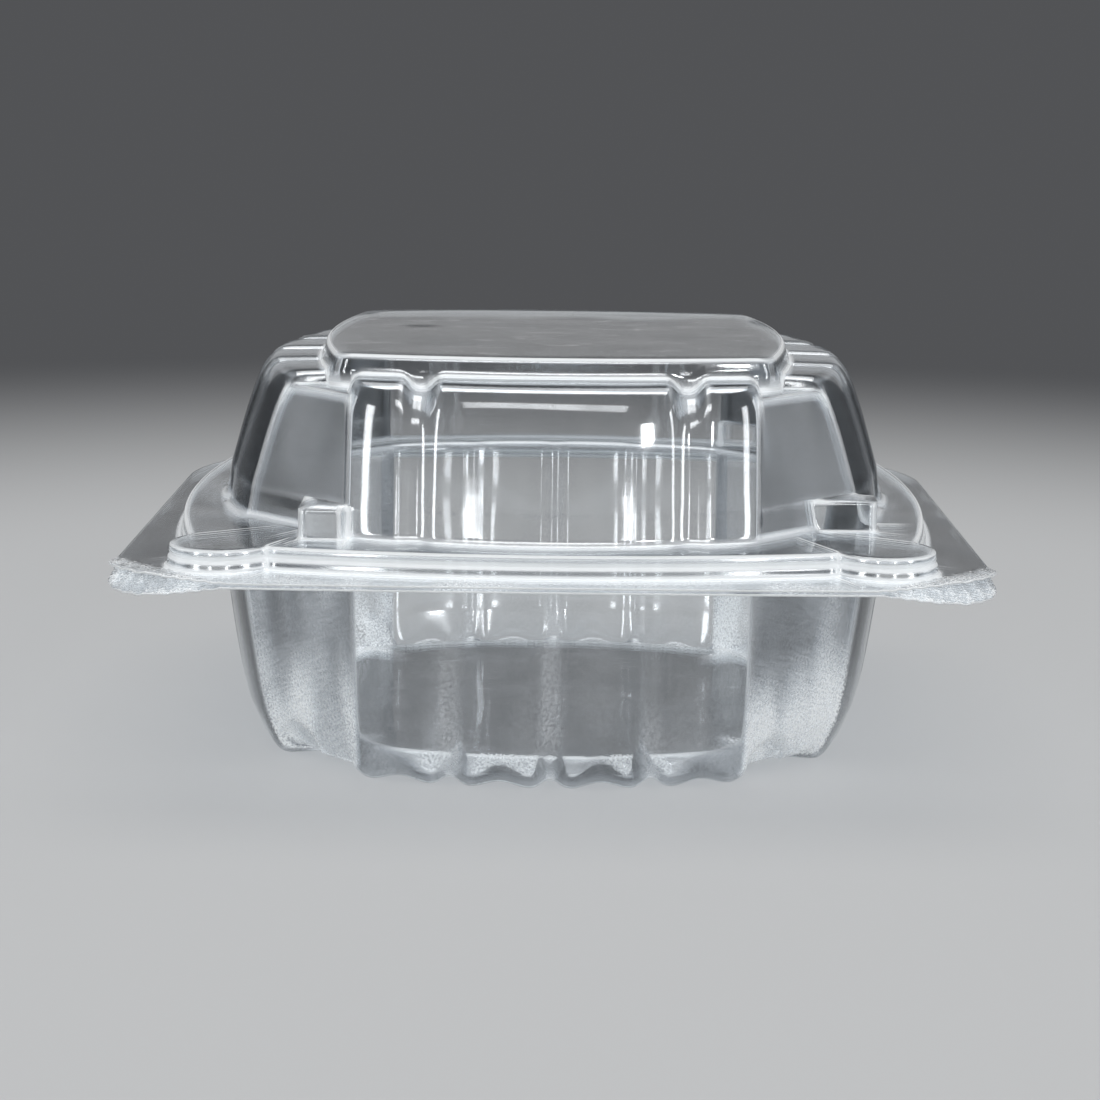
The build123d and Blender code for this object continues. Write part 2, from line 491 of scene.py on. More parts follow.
def rounded_loop(edges: Sequence[np.ndarray], radii: Sequence[float]) -> np.ndarray:
    """Closed outline of edges joined by rounded corners.

    Args:
        edges: Lines of points, each ending where the next starts.
        radii: Radius of the corner at the end of each edge.

    Returns:
        The points of the outline.
    """
    count = len(edges)
    leaving = [edge[-1] - edge[-2] for edge in edges]
    entering = [edge[1] - edge[0] for edge in edges]
    turns = []
    for index in range(count):
        a = leaving[index] / np.linalg.norm(leaving[index])
        b = entering[(index + 1) % count] / np.linalg.norm(entering[(index + 1) % count])
        turns.append(math.acos(float(np.clip(a @ b, -1.0, 1.0))))
    cuts = [radius * math.tan(turn / 2) for radius, turn in zip(radii, turns)]
    kept = [trimmed(edge, cuts[index - 1], cuts[index]) for index, edge in enumerate(edges)]
    outline = []
    for index, edge in enumerate(kept):
        outline.append(edge)
        following = kept[(index + 1) % count]
        reach = 4 / 3 * math.tan(turns[index] / 4) * radii[index]
        a = edge[-1] - edge[-2]
        b = following[1] - following[0]
        handles = (
            edge[-1],
            edge[-1] + a / np.linalg.norm(a) * reach,
            following[0] - b / np.linalg.norm(b) * reach,
            following[0],
        )
        t = np.linspace(0, 1, CORNER_POINTS)[1:-1, None]
        weights = ((1 - t) ** 3, 3 * t * (1 - t) ** 2, 3 * t**2 * (1 - t), t**3)
        outline.append(sum(weight * handle for weight, handle in zip(weights, handles)))
    return np.concatenate(outline)


def bowed_loop(half: float, corner: float, front_radius: float, rear_radius: float) -> np.ndarray:
    """Outline of a square with bowed sides.

    Args:
        half: Reach at the middle of a side.
        corner: Reach of the corner point along each axis.
        front_radius: Rounding of the two front corners.
        rear_radius: Rounding of the two rear corners.

    Returns:
        The points of the outline.
    """
    radius = (corner**2 + (half - corner) ** 2) / (2 * (half - corner))
    x = np.linspace(-corner, corner, SIDE_POINTS)
    side = np.stack([x, -(half - arc_sag(x, radius))], axis=1)
    edges = [turned(side, quarter) for quarter in range(SIDES)]
    return rounded_loop(edges, (front_radius, rear_radius, rear_radius, front_radius))


@dataclass
class Flange:
    """Flat rim flange with two bent, textured corner tabs at the front."""

    half_width: float = 76.4
    front: float = 77.4
    front_shoulder: float = 75.8
    rear: float = 76.2
    front_radius: float = 12.5
    rear_radius: float = 42.0
    bend_distance: float = 92.5
    tilt: float = math.radians(10.0)
    knurl_pitch: float = 3.2
    knurl_height: float = 0.30
    knurl_level: float = 0.35
    knurl_along: float = 0.95
    knurl_out: float = 0.80
    knurl_power: int = 5
    edge_points: int = 300
    frost_start: float = 66.0

    def outline(self) -> np.ndarray:
        """Outline of the flange in plan."""
        x = np.linspace(-self.half_width, self.half_width, self.edge_points)
        bow = self.front - self.front_shoulder
        radius = (self.half_width**2 + bow**2) / (2 * bow)
        front = np.stack([x, -(self.front - arc_sag(x, radius))], axis=1)
        corners = [
            (self.half_width, -self.front_shoulder),
            (self.half_width, self.rear),
            (-self.half_width, self.rear),
            (-self.half_width, -self.front_shoulder),
        ]
        straights = [np.linspace(a, b, self.edge_points) for a, b in zip(corners, corners[1:])]
        radii = (self.front_radius, self.rear_radius, self.rear_radius, self.front_radius)
        return rounded_loop([front, *straights], radii)

    def tab_lift(self, points: np.ndarray, way: float) -> tuple[np.ndarray, np.ndarray]:
        """Height added by the bent tabs and their texture.

        Args:
            points: Rows of x, y and z.
            way: 1 for tabs that rise, -1 for tabs that drop.

        Returns:
            The added height, and where the texture is from 0 to 1.
        """
        out = (np.abs(points[:, 0]) - points[:, 1]) / math.sqrt(2)
        past = np.clip(out - self.bend_distance, 0, None)
        lift = past**2 / (past + 1.0) * math.tan(self.tilt)
        inside = np.clip((out - self.bend_distance - 0.2) / 0.8, 0, 1)
        texture = self.knurl_height * (self.knurl(points) - self.knurl_level)
        return way * lift + inside * texture, inside

    def knurl(self, points: np.ndarray) -> np.ndarray:
        """Diamond ridges that cross the tabs.

        Args:
            points: Rows of x, y and z.

        Returns:
            The height of the ridges, from 0 to 1.
        """
        out = (np.abs(points[:, 0]) - points[:, 1]) / math.sqrt(2)
        along = (np.abs(points[:, 0]) + points[:, 1]) / math.sqrt(2)
        steps = math.pi / self.knurl_pitch
        phases = [(along * self.knurl_along + way * out * self.knurl_out) * steps for way in (1, -1)]
        rope, weft = (np.abs(np.cos(phase)) ** self.knurl_power for phase in phases)
        return np.maximum(rope, weft)


@dataclass
class Bead:
    """Locking bead round the rim, with a round button at each front corner."""

    half: float
    corner: float
    front_radius: float
    rear_radius: float
    button_radius: float
    button_x: float = 57.5
    button_y: float = 60.0
    neck_depth: float = 0.7
    neck_x: float = 50.0
    neck_width: float = 1.6

    def outline(self, grow: float) -> np.ndarray:
        """Outline of the bead with its buttons.

        Args:
            grow: How far the outline is moved outwards.

        Returns:
            The points of the outline.
        """
        loop = bowed_loop(self.half + grow, self.corner + grow, self.front_radius, self.rear_radius)
        angle = np.arctan2(loop[:, 1], loop[:, 0])
        reach = np.hypot(loop[:, 0], loop[:, 1])
        for side in (-1, 1):
            centre = np.array([side * self.button_x, -self.button_y])
            distance = np.linalg.norm(centre)
            turn = angle - math.atan2(centre[1], centre[0])
            radius = self.button_radius + grow
            across = distance * np.sin(turn)
            inside = np.abs(across) < radius
            edge = distance * np.cos(turn) + np.sqrt(np.clip(radius**2 - across**2, 0, None))
            reach = np.where(inside & (np.cos(turn) > 0), np.maximum(reach, edge), reach)
        front = loop[:, 1] < -self.corner + self.front_radius
        necks = np.exp(-(((np.abs(loop[:, 0]) - self.neck_x) / self.neck_width) ** 2)) * front
        reach = reach - self.neck_depth * necks
        return np.stack([reach * np.cos(angle), reach * np.sin(angle)], axis=1)


@dataclass
class Panels:
    """Four bowed, ribbed side panels joined by flat corner facets."""

    half: float
    step: float
    bow_radius: float
    rib_depth: float
    end_valleys: tuple
    side_valleys: tuple
    valley_width: float = 2.3
    valley_floor: float = 1.1
    panel_columns: int = 92
    tab_columns: int = 100
    flank_columns: int = 11
    rear_columns: int = 26

    def x(self) -> np.ndarray:
        """Places of the columns across one panel."""
        return np.linspace(-self.half, self.half, self.panel_columns)

    def angles(self, side: int) -> np.ndarray:
        """Directions of the columns round the corner that follows a side.

        Args:
            side: 0 for the front, then to the right, the back and the left.

        Returns:
            The angles from the corner's pivot.
        """
        if side not in FRONT_CORNERS:
            return np.linspace(-QUARTER, 0, self.rear_columns)
        tab = math.radians(24)
        middle = -QUARTER / 2
        return np.concatenate(
            [
                np.linspace(-QUARTER, middle - tab, self.flank_columns, endpoint=False),
                np.linspace(middle - tab, middle + tab, self.tab_columns, endpoint=False),
                np.linspace(middle + tab, 0, self.flank_columns),
            ]
        )

    def valley(self, side: int) -> np.ndarray:
        """How deep each panel column lies in a valley, from 0 to 1.

        Args:
            side: Number of the side.

        Returns:
            The depth share of each column.
        """
        x = self.x()
        valleys = self.end_valleys if side % 2 == 0 else self.side_valleys
        slope = self.valley_width - self.valley_floor
        return sum(np.clip((self.valley_width - np.abs(x - at)) / slope, 0, 1) for at in valleys)

    def valley_columns(self) -> np.ndarray:
        """The valleys' depth shares round a whole row, corners included."""
        parts = []
        for side in range(SIDES):
            parts += [self.valley(side), np.zeros(len(self.angles(side)))]
        return np.concatenate(parts)

    def crown(self, side: int) -> np.ndarray:
        """How far each panel column falls back from its rib's crown, from 0 to 1.

        Args:
            side: Number of the side.

        Returns:
            The share of each column.
        """
        x = self.x()
        marks = [-self.half, *(self.end_valleys if side % 2 == 0 else self.side_valleys), self.half]
        share = np.zeros_like(x)
        for left, right in zip(marks, marks[1:]):
            inside = (x >= left) & (x <= right)
            share = np.where(inside, np.abs(2 * (x - left) / (right - left) - 1) ** 3, share)
        return share

    def wall_row(self, reach: float, height: float, side: int) -> np.ndarray:
        """One side's share of a row of the ribbed wall, corner included.

        Args:
            reach: Reach of the rib crests at the middle of a side.
            height: Height of the row.
            side: Number of the side.

        Returns:
            Rows of x, y and z in the side's own frame.
        """
        x = self.x()
        depth = self.rib_depth * (0.5 * self.crown(side) + 0.5 * self.valley(side))
        panel = np.stack([x, -(reach - arc_sag(x, self.bow_radius) - depth)], axis=1)
        angle = self.angles(side)
        facet = reach + self.half - self.step - arc_sag(np.array(self.half), self.bow_radius)
        ray = (facet - 2 * self.half) / (np.cos(angle) - np.sin(angle))
        corner = np.stack([self.half + ray * np.cos(angle), -self.half + ray * np.sin(angle)], axis=1)
        flat = np.concatenate([panel, corner])
        return np.column_stack([flat, np.full(len(flat), height)])

    def loop_row(self, loop: np.ndarray, height: float, side: int) -> np.ndarray:
        """One side's share of a row that follows an outline.

        Args:
            loop: Points of the outline.
            height: Height of the row.
            side: Number of the side.

        Returns:
            Rows of x, y and z in the side's own frame.
        """
        local = turned(loop, -side)
        x = self.x()
        near = local[(local[:, 1] < 0) & (np.abs(local[:, 0]) < self.half + 8)]
        near = near[np.argsort(near[:, 0])]
        panel = np.stack([x, np.interp(x, near[:, 0], near[:, 1])], axis=1)
        offset = local - np.array([self.half, -self.half])
        polar = np.arctan2(offset[:, 1], offset[:, 0])
        ring = (polar > -QUARTER - 0.4) & (polar < 0.4) & (local[:, 0] > self.half / 2) & (local[:, 1] < 0)
        ring &= np.hypot(offset[:, 0], offset[:, 1]) > 0.5
        order = np.argsort(polar[ring])
        angle = self.angles(side)
        ray = np.interp(angle, polar[ring][order], np.hypot(*offset[ring][order].T))
        corner = np.stack([self.half + ray * np.cos(angle), -self.half + ray * np.sin(angle)], axis=1)
        flat = np.concatenate([panel, corner])
        return np.column_stack([flat, np.full(len(flat), height)])


class SheetGrid:
    """Rows of points from the middle of a formed sheet to its cut edge."""

    soft_bend = 0.20
    sharp_bend = 0.95

    def __init__(self, panels: Panels) -> None:
        """Starts an empty grid.

        Args:
            panels: The panels that fix the grid's columns.
        """
        self.panels = panels
        self.rows: list[np.ndarray] = []
        self.frost: list[np.ndarray] = []
        self.scratch: list[np.ndarray] = []

    def creases(self) -> np.ndarray:
        """How sharply the sheet bends at each point, from 0 to 1.

        Returns:
            The values in the order of the rows.
        """
        grid = np.stack(self.rows)
        sharpest = np.zeros(grid.shape[:2])
        padded = np.concatenate([grid[:1], grid, grid[-1:]])
        pairs = (
            (grid - np.roll(grid, 1, axis=1), np.roll(grid, -1, axis=1) - grid),
            (grid - padded[:-2], padded[2:] - grid),
        )
        for before, after in pairs:
            length_before = np.linalg.norm(before, axis=2)
            length_after = np.linalg.norm(after, axis=2)
            both = np.maximum(length_before * length_after, 1e-9)
            bend = np.arccos(np.clip((before * after).sum(axis=2) / both, -1, 1))
            bend = np.where(both > 1e-6, bend / np.maximum((length_before + length_after) / 2, 0.25), 0)
            sharpest = np.maximum(sharpest, bend)
        return np.clip((sharpest - self.soft_bend) / (self.sharp_bend - self.soft_bend), 0, 1).ravel()

    def joined(self, sides: Iterable[np.ndarray]) -> np.ndarray:
        """Row in the pack's frame from its four sides' shares.

        Args:
            sides: Points of each side in its own frame.

        Returns:
            The points of the whole row.
        """
        return np.concatenate(
            [np.column_stack([turned(part[:, :2], side), part[:, 2]]) for side, part in enumerate(sides)]
        )

    def loop(self, loop: np.ndarray, height: float) -> np.ndarray:
        """Row that follows an outline at one height, not yet added.

        Args:
            loop: Points of the outline.
            height: Height of the row.

        Returns:
            The points of the whole row.
        """
        return self.joined(self.panels.loop_row(loop, height, side) for side in range(SIDES))

    def add(self, row: np.ndarray, frost: float = 0.0, scratch: float = 0.0) -> np.ndarray:
        """Adds a row.

        Args:
            row: Points of the whole row.
            frost: Frosting of the row, from 0 to 1.
            scratch: Scratches on the row, from 0 to 1.

        Returns:
            The same row.
        """
        self.rows.append(row)
        self.frost.append(np.full(len(row), frost))
        self.scratch.append(np.full(len(row), scratch))
        return row

    def add_disc(self, rim: np.ndarray, shares: Sequence[float], frost: float, scratch: float) -> None:
        """Adds rows of a flat face from its middle outwards.

        Args:
            rim: Row at the face's rim.
            shares: Size of each row as a share of the rim.
            frost: Frosting of the face.
            scratch: Scratches on the face.
        """
        for share in shares:
            self.add(rim * np.array([share, share, 1.0]), frost, scratch)

    def add_between(
        self, first: np.ndarray, second: np.ndarray, share: float, frost: float = 0.0
    ) -> np.ndarray:
        """Adds a row between two rows.

        Args:
            first: Row at share 0.
            second: Row at share 1.
            share: How far the new row lies towards the second.
            frost: Frosting of the row.

        Returns:
            The new row.
        """
        return self.add(first + (second - first) * share, frost)

    def frost_valleys(self, first: int, share: float) -> None:
        """Frosts the valleys between the ribs.

        Args:
            first: Number of the first row that is frosted.
            share: Frosting added in the valleys, from 0 to 1.
        """
        added = self.panels.valley_columns() * share
        for index in range(first, len(self.frost)):
            self.frost[index] = self.frost[index] + added

    def soften(self, times: int) -> None:
        """Rounds the creases that run up the walls.

        Args:
            times: Number of light smoothing passes along each row.
        """
        for index, row in enumerate(self.rows):
            for _ in range(times):
                row = 0.25 * np.roll(row, 1, axis=0) + 0.5 * row + 0.25 * np.roll(row, -1, axis=0)
            self.rows[index] = row

    def mesh(self, name: str) -> bpy.types.Object:
        """Makes the sheet's middle, rows and faces into an object.

        Args:
            name: Name of the piece.

        Returns:
            The object, one surface without thickness.
        """
        columns = len(self.rows[0])
        middle = self.rows[0].mean(axis=0)
        points = np.concatenate([middle[None], *self.rows]) * MM
        around = np.arange(columns)
        following = (around + 1) % columns
        faces = [(0, int(1 + a), int(1 + b)) for a, b in zip(around, following)]
        for index in range(len(self.rows) - 1):
            inner = 1 + index * columns
            outer = inner + columns
            faces += [
                (int(inner + a), int(outer + a), int(outer + b), int(inner + b))
                for a, b in zip(around, following)
            ]
        mesh = bpy.data.meshes.new(name)
        mesh.from_pydata(points.tolist(), [], faces)
        for label, values in (("frost", self.frost), ("scratch", self.scratch)):
            data = np.concatenate([[values[0][0]], *values]).astype(np.float32)
            mesh.attributes.new(label, "FLOAT", "POINT").data.foreach_set("value", data)
        # Bend sharpness, which the clear plastic material turns into a painted highlight.
        crease = np.concatenate([[0.0], self.creases()]).astype(np.float32)
        mesh.attributes.new("crease", "FLOAT", "POINT").data.foreach_set("value", crease)
        mesh.shade_smooth()
        piece = bpy.data.objects.new(name, mesh)
        bpy.context.scene.collection.objects.link(piece)
        return piece


@dataclass
class SheetPiece:
    """What the tray and the lid share: one formed sheet with thickness and two finishes."""

    sheet: float = 0.35

    def thicken(self, piece: bpy.types.Object, way: float) -> None:
        """Gives the surface the sheet's thickness.

        Args:
            piece: The surface.
            way: 1 to grow along the face normals, -1 against them.
        """
        solid = piece.modifiers.new("sheet", "SOLIDIFY")
        solid.thickness = self.sheet * MM
        solid.offset = way
        solid.use_rim = True
        solid.material_offset_rim = 1

    def dress(
        self, piece: bpy.types.Object, finishes: dict[Finish, bpy.types.Material], face: Finish
    ) -> None:
        """Gives the piece its face and edge materials.

        Args:
            piece: The piece.
            finishes: All materials by finish.
            face: Finish of its faces.
        """
        piece.data.materials.append(finishes[face])
        piece.data.materials.append(finishes[Finish.CUT_EDGE])


@dataclass
class Tray(SheetPiece):
    """Tub with ribbed walls, scalloped feet, a raised floor, a bead and a flange."""

    flange_bottom: float = 40.25
    rim: float = 44.4
    floor_height: float = 3.5
    floor_half: float = 47.0
    floor_corner: float = 38.5
    floor_radius: float = 9.0
    foot_reach: float = 55.3
    arch_rise: float = 1.2
    arch_half: float = 5.65
    cusp_rise: float = 2.0
    corner_lift: float = 2.2
    foot_fade: float = 7.0
    rib_pitch: float = 18.0
    edge_frost: float = 0.80
    facet_frost: float = 0.17
    low_frost: float = 0.60
    frost_top: float = 24.0
    frost_fade: float = 14.0
    facet_start: float = 35.0
    valley_frost: float = 0.16
    niche_top: float = 7.8
    niche_half: float = 5.25
    niche_depth: float = 1.6
    niche_shift: float = 4.6

    def panels(self) -> Panels:
        """Panels of the tub's wall."""
        valleys = (-self.rib_pitch, 0.0, self.rib_pitch)
        return Panels(
            half=35.6, step=1.2, bow_radius=99.0, rib_depth=1.1, end_valleys=valleys, side_valleys=valleys
        )

    def wall_profile(self) -> list[tuple[float, float, float]]:
        """Reach, height and frosting of the wall's rows, from the feet up."""
        return [
            (54.5, 0.0, 0.10),
            (55.6, 0.12, 0.14),
            (56.5, 0.75, 0.16),
            (57.2, 1.65, 0.14),
            (57.7, 2.7, 0.12),
            (58.2, 3.9, 0.12),
            (58.7, 5.1, 0.12),
            (59.2, 6.3, 0.12),
            (59.65, 7.4, 0.12),
            (60.0, 8.3, 0.12),
            (60.5, 10.2, 0.11),
            (61.1, 13.0, 0.09),
            (61.7, 16.4, 0.07),
            (62.3, 20.2, 0.05),
            (62.9, 24.5, 0.03),
            (63.5, 29.0, 0.02),
            (64.1, 33.5, 0.02),
            (64.6, 37.5, 0.02),
            (65.0, 40.6, 0.02),
            (65.3, 42.6, 0.03),
            (65.6, 43.8, 0.05),
            (66.0, 44.25, 0.06),
        ]

    def floor_loop(self, grow: float) -> np.ndarray:
        """Outline of the raised floor.

        Args:
            grow: How far the outline is moved outwards.

        Returns:
            The points of the outline.
        """
        radius = self.floor_radius + grow
        return bowed_loop(self.floor_half + grow, self.floor_corner + grow, radius, radius)

    def foot_height(self, x: np.ndarray) -> np.ndarray:
        """Height of the feet's underside along one panel.

        Args:
            x: Places along the panel.

        Returns:
            The height at each place.
        """
        from_centre = np.abs((x + self.rib_pitch / 2) % self.rib_pitch - self.rib_pitch / 2)
        from_centre = self.rib_pitch / 2 - from_centre
        arch = self.arch_rise * (0.5 + 0.5 * np.cos(np.pi * np.clip(from_centre / self.arch_half, 0, 1)))
        past = np.clip((from_centre - self.arch_half) / (self.rib_pitch / 2 - self.arch_half), 0, 1)
        return arch + self.cusp_rise * past**1.5

    def shape_foot(self, part: np.ndarray, panels: Panels) -> np.ndarray:
        """Lifts the arches, cusps and corners of one side's share of a row.

        Args:
            part: Points in the side's own frame.
            panels: The wall's panels.

        Returns:
            The shaped points.
        """
        count = panels.panel_columns
        fade = np.clip(1 - part[:, 2] / self.foot_fade, 0, 1) ** 2
        lift = np.concatenate([self.foot_height(panels.x()), np.full(len(part) - count, self.corner_lift)])
        part = part.copy()
        part[:, 2] += lift * fade
        corner = part[count:]
        along = (corner[:, 0] + corner[:, 1]) / math.sqrt(2)
        rise = np.clip(1 - ((along + self.niche_shift) / self.niche_half) ** 2, 0, None)
        top = self.niche_top - self.niche_half * (1 - np.sqrt(rise))
        deep = np.clip((top - corner[:, 2]) / 0.8, 0, 1) * np.clip(rise * 6, 0, 1)
        push = self.niche_depth * deep / math.sqrt(2)
        part[count:, 0] -= push
        part[count:, 1] += push
        return part

    def build(self, flange: Flange, bead: Bead) -> bpy.types.Object:
        """Builds the tray's sheet.

        Args:
            flange: The shared flange.
            bead: The tray's bead.

        Returns:
            The piece.
        """
        panels = self.panels()
        grid = SheetGrid(panels)
        floor = self.floor_loop(0.0)
        floor_rim = grid.loop(floor, self.floor_height)
        grid.add_disc(floor_rim, (0.1, 0.45, 0.8, 0.95, 0.98), 0.02, 0.8)
        grid.add_disc(floor_rim, (0.992,), self.edge_frost, 0.0)
        grid.add(grid.loop(floor, self.floor_height - 0.08), 1.0)
        for slope, height in ((0.35, 3.05), (0.75, 2.1), (1.15, 1.1), (1.7, 0.35)):
            loop = self.floor_loop(slope)
            parts = (panels.loop_row(loop, height, side) for side in range(SIDES))
            trench = grid.add(grid.joined(self.shape_foot(part, panels) for part in parts), self.edge_frost)
        foot = (panels.wall_row(self.foot_reach - 1.6, 0.0, side) for side in range(SIDES))
        foot_row = grid.joined(self.shape_foot(part, panels) for part in foot)
        for share in (0.35, 0.7):
            grid.add_between(trench, foot_row, share, 0.12)
        first = len(grid.rows)
        for reach, height, frost in self.wall_profile():
            parts = (panels.wall_row(reach, height, side) for side in range(SIDES))
            top = grid.add(grid.joined(self.shape_foot(part, panels) for part in parts), frost)
        grid.frost_valleys(first, self.valley_frost)
        self.frost_corners(grid)
        ledge = grid.loop(bead.outline(-0.4), self.rim)
        for share in (0.25, 0.55, 0.85):
            row = grid.add_between(top, ledge, share, 0.05)
            row[:, 2] = self.rim
        for grow, height in ((-0.1, 44.3), (0.0, 43.9), (0.2, 42.6), (0.4, 41.4), (0.55, 40.6)):
            grid.add(grid.loop(bead.outline(grow), height), 0.08)
        bead_foot = grid.add(grid.loop(bead.outline(1.0), self.flange_bottom), 0.1)
        edge = grid.loop(flange.outline(), self.flange_bottom)
        add_flange_rows(grid, flange, bead_foot, edge, -1.0)
        grid.soften(1)
        piece = grid.mesh("tray_sheet")
        self.thicken(piece, 1.0)
        return piece

    def frost_corners(self, grid: SheetGrid) -> None:
        """Frosts the low part of the corner facets.

        Args:
            grid: The tray's grid so far.
        """
        for row, frost in zip(grid.rows, grid.frost):
            diagonal = np.abs(row[:, 0]) + np.abs(row[:, 1])
            corner = (np.abs(row[:, :2]).min(axis=1) > self.facet_start) & (diagonal > 2 * self.facet_start)
            low = np.clip((self.frost_top - row[:, 2]) / self.frost_fade, 0, 1)
            frost += np.where(corner, self.facet_frost + self.low_frost * low, 0.0)


@dataclass
class Lid(SheetPiece):
    """Ribbed dome with a raised plateau, four stacking lugs, a bead and a flange."""

    flange_top: float = 41.35
    rim: float = 45.4
    top: float = 76.0
    crest: float = 72.4
    crest_reach: float = 52.0
    shoulder: float = 70.2
    sink_start: float = 64.5
    sink_run: float = 6.0
    edge_run: float = 1.2
    edge_sink: float = 0.45
    plateau_half: float = 44.0
    plateau_corner: float = 39.4
    plateau_radius: float = 4.5
    lug_top: float = 51.0
    lug_left: float = 44.5
    lug_front: float = 58.2
    valley_offset: float = 23.7
    valley_frost: float = 0.10
    rib_pitch: float = 18.0

    def panels(self) -> Panels:
        """Panels of the dome's wall."""
        return Panels(
            half=36.4,
            step=1.2,
            bow_radius=99.0,
            rib_depth=1.5,
            end_valleys=(-self.valley_offset, self.valley_offset),
            side_valleys=(-self.rib_pitch, 0.0, self.rib_pitch),
            valley_width=2.8,
            valley_floor=1.2,
        )

    def wall_profile(self) -> list[tuple[float, float, float]]:
        """Reach, height and frosting of the dome's rows, from the shoulder down."""
        return [
            (52.6, 72.38, 0.05),
            (53.7, 72.2, 0.05),
            (54.6, 71.8, 0.05),
            (55.3, 71.2, 0.05),
            (56.0, 70.3, 0.04),
            (56.6, 69.3, 0.03),
            (57.2, 68.0, 0.02),
            (57.9, 66.2, 0.02),
            (58.6, 64.2, 0.02),
            (59.4, 61.9, 0.02),
            (60.2, 59.3, 0.02),
            (61.0, 56.6, 0.02),
            (61.7, 54.2, 0.02),
            (62.3, 52.2, 0.02),
            (62.5, 51.25, 0.05),
            (62.55, 51.0, 0.12),
            (62.6, 50.75, 0.12),
            (62.75, 49.8, 0.05),
            (63.0, 48.3, 0.04),
            (63.25, 46.9, 0.05),
            (63.6, 45.95, 0.07),
            (64.2, 45.5, 0.08),
        ]

    def plateau_loop(self, grow: float) -> np.ndarray:
        """Outline of the plateau.

        Args:
            grow: How far the outline is moved outwards.

        Returns:
            The points of the outline.
        """
        radius = self.plateau_radius
        return bowed_loop(self.plateau_half + grow, self.plateau_corner + grow, radius, radius)

    def shape_shoulder(self, part: np.ndarray, panels: Panels, side: int) -> np.ndarray:
        """Sinks the valleys and corners of the shoulder, and adds the stacking lug.

        Args:
            part: Points in the side's own frame.
            panels: The dome's panels.
            side: Number of the side.

        Returns:
            The shaped points.
        """
        count = panels.panel_columns
        part = part.copy()
        drop = self.crest - self.shoulder
        fade = np.clip((part[:, 2] - self.sink_start) / self.sink_run, 0, 1) ** 1.5
        sunk = np.concatenate([panels.valley(side), np.zeros(len(part) - count)])
        ends = np.clip((np.abs(panels.x()) - panels.half + self.edge_run) / self.edge_run, 0, 1)
        sunk[:count] = np.maximum(sunk[:count], self.edge_sink * ends)
        part[:, 2] -= drop * sunk * fade
        corner = part[count:]
        excess = np.clip(corner[:, 2] - self.shoulder + self.edge_run, 0, None)
        corner[:, 2] -= excess - self.edge_run * (1 - np.exp(-excess / self.edge_run))
        offset = corner[:, :2] - np.array([panels.half, -panels.half])
        ray = np.hypot(offset[:, 0], offset[:, 1])
        way = offset / ray[:, None]
        long_side = (self.lug_left - panels.half) / np.clip(-way[:, 1], 1e-3, None)
        end_side = (self.lug_front - panels.half) / np.clip(way[:, 0], 1e-3, None)
        box = np.minimum(long_side, end_side)
        in_lug = (corner[:, 2] < self.lug_top) & (box > ray)
        offset = np.where(in_lug[:, None], way * box[:, None], offset)
        corner[:, :2] = offset + np.array([panels.half, -panels.half])
        return part

    def build(self, flange: Flange, bead: Bead) -> bpy.types.Object:
        """Builds the lid's sheet.

        Args:
            flange: The shared flange.
            bead: The lid's bead.

        Returns:
            The piece.
        """
        panels = self.panels()
        grid = SheetGrid(panels)
        plateau = self.plateau_loop(-1.1)
        grid.add_disc(grid.loop(plateau, self.top), (0.1, 0.5, 0.92), 0.02, 1.0)
        edge_profile = (
            (-1.1, 76.0, 0.05),
            (-0.6, 75.86, 0.08),
            (-0.2, 75.45, 0.10),
            (0.0, 74.85, 0.10),
            (0.2, 74.0, 0.06),
            (0.45, 73.1, 0.04),
        )
        for grow, height, frost in edge_profile:
            grid.add(grid.loop(self.plateau_loop(grow), height), frost)
        base_loop = self.plateau_loop(0.9)
        base = grid.joined(
            self.shape_shoulder(panels.loop_row(base_loop, self.crest + 0.15, side), panels, side)
            for side in range(SIDES)
        )
        grid.add(base, 0.06)
        shoulder = grid.joined(
            self.shape_shoulder(panels.wall_row(self.crest_reach, self.crest, side), panels, side)
            for side in range(SIDES)
        )
        for share in (0.15, 0.5, 0.88):
            grid.add_between(base, shoulder, share, 0.04)
        first = len(grid.rows)
        for reach, height, frost in self.wall_profile():
            foot = grid.joined(
                self.shape_shoulder(panels.wall_row(reach, height, side), panels, side)
                for side in range(SIDES)
            )
            grid.add(foot, frost)
        grid.frost_valleys(first, self.valley_frost)
        ledge = grid.loop(bead.outline(-0.7), self.rim)
        for share in (0.15, 0.55, 0.95):
            row = grid.add_between(foot, ledge, share, 0.10)
            row[:, 2] = self.rim
        bead_profile = (
            (-0.3, 45.32, 0.2),
            (-0.05, 45.05, 0.25),
            (0.03, 44.6, 0.2),
            (0.08, 43.95, 0.25),
            (-0.05, 43.6, 0.35),
            (0.02, 43.3, 0.35),
            (0.3, 43.05, 0.3),
            (0.42, 42.4, 0.25),
            (0.5, 41.9, 0.3),
            (0.75, 41.5, 0.35),
        )
        for grow, height, frost in bead_profile:
            grid.add(grid.loop(bead.outline(grow), height), frost)
        bead_foot = grid.add(grid.loop(bead.outline(1.3), self.flange_top), 0.4)
        edge = grid.loop(flange.outline(), self.flange_top)
        add_flange_rows(grid, flange, bead_foot, edge, 1.0)
        grid.soften(1)
        piece = grid.mesh("lid_sheet")
        self.thicken(piece, -1.0)
        return piece


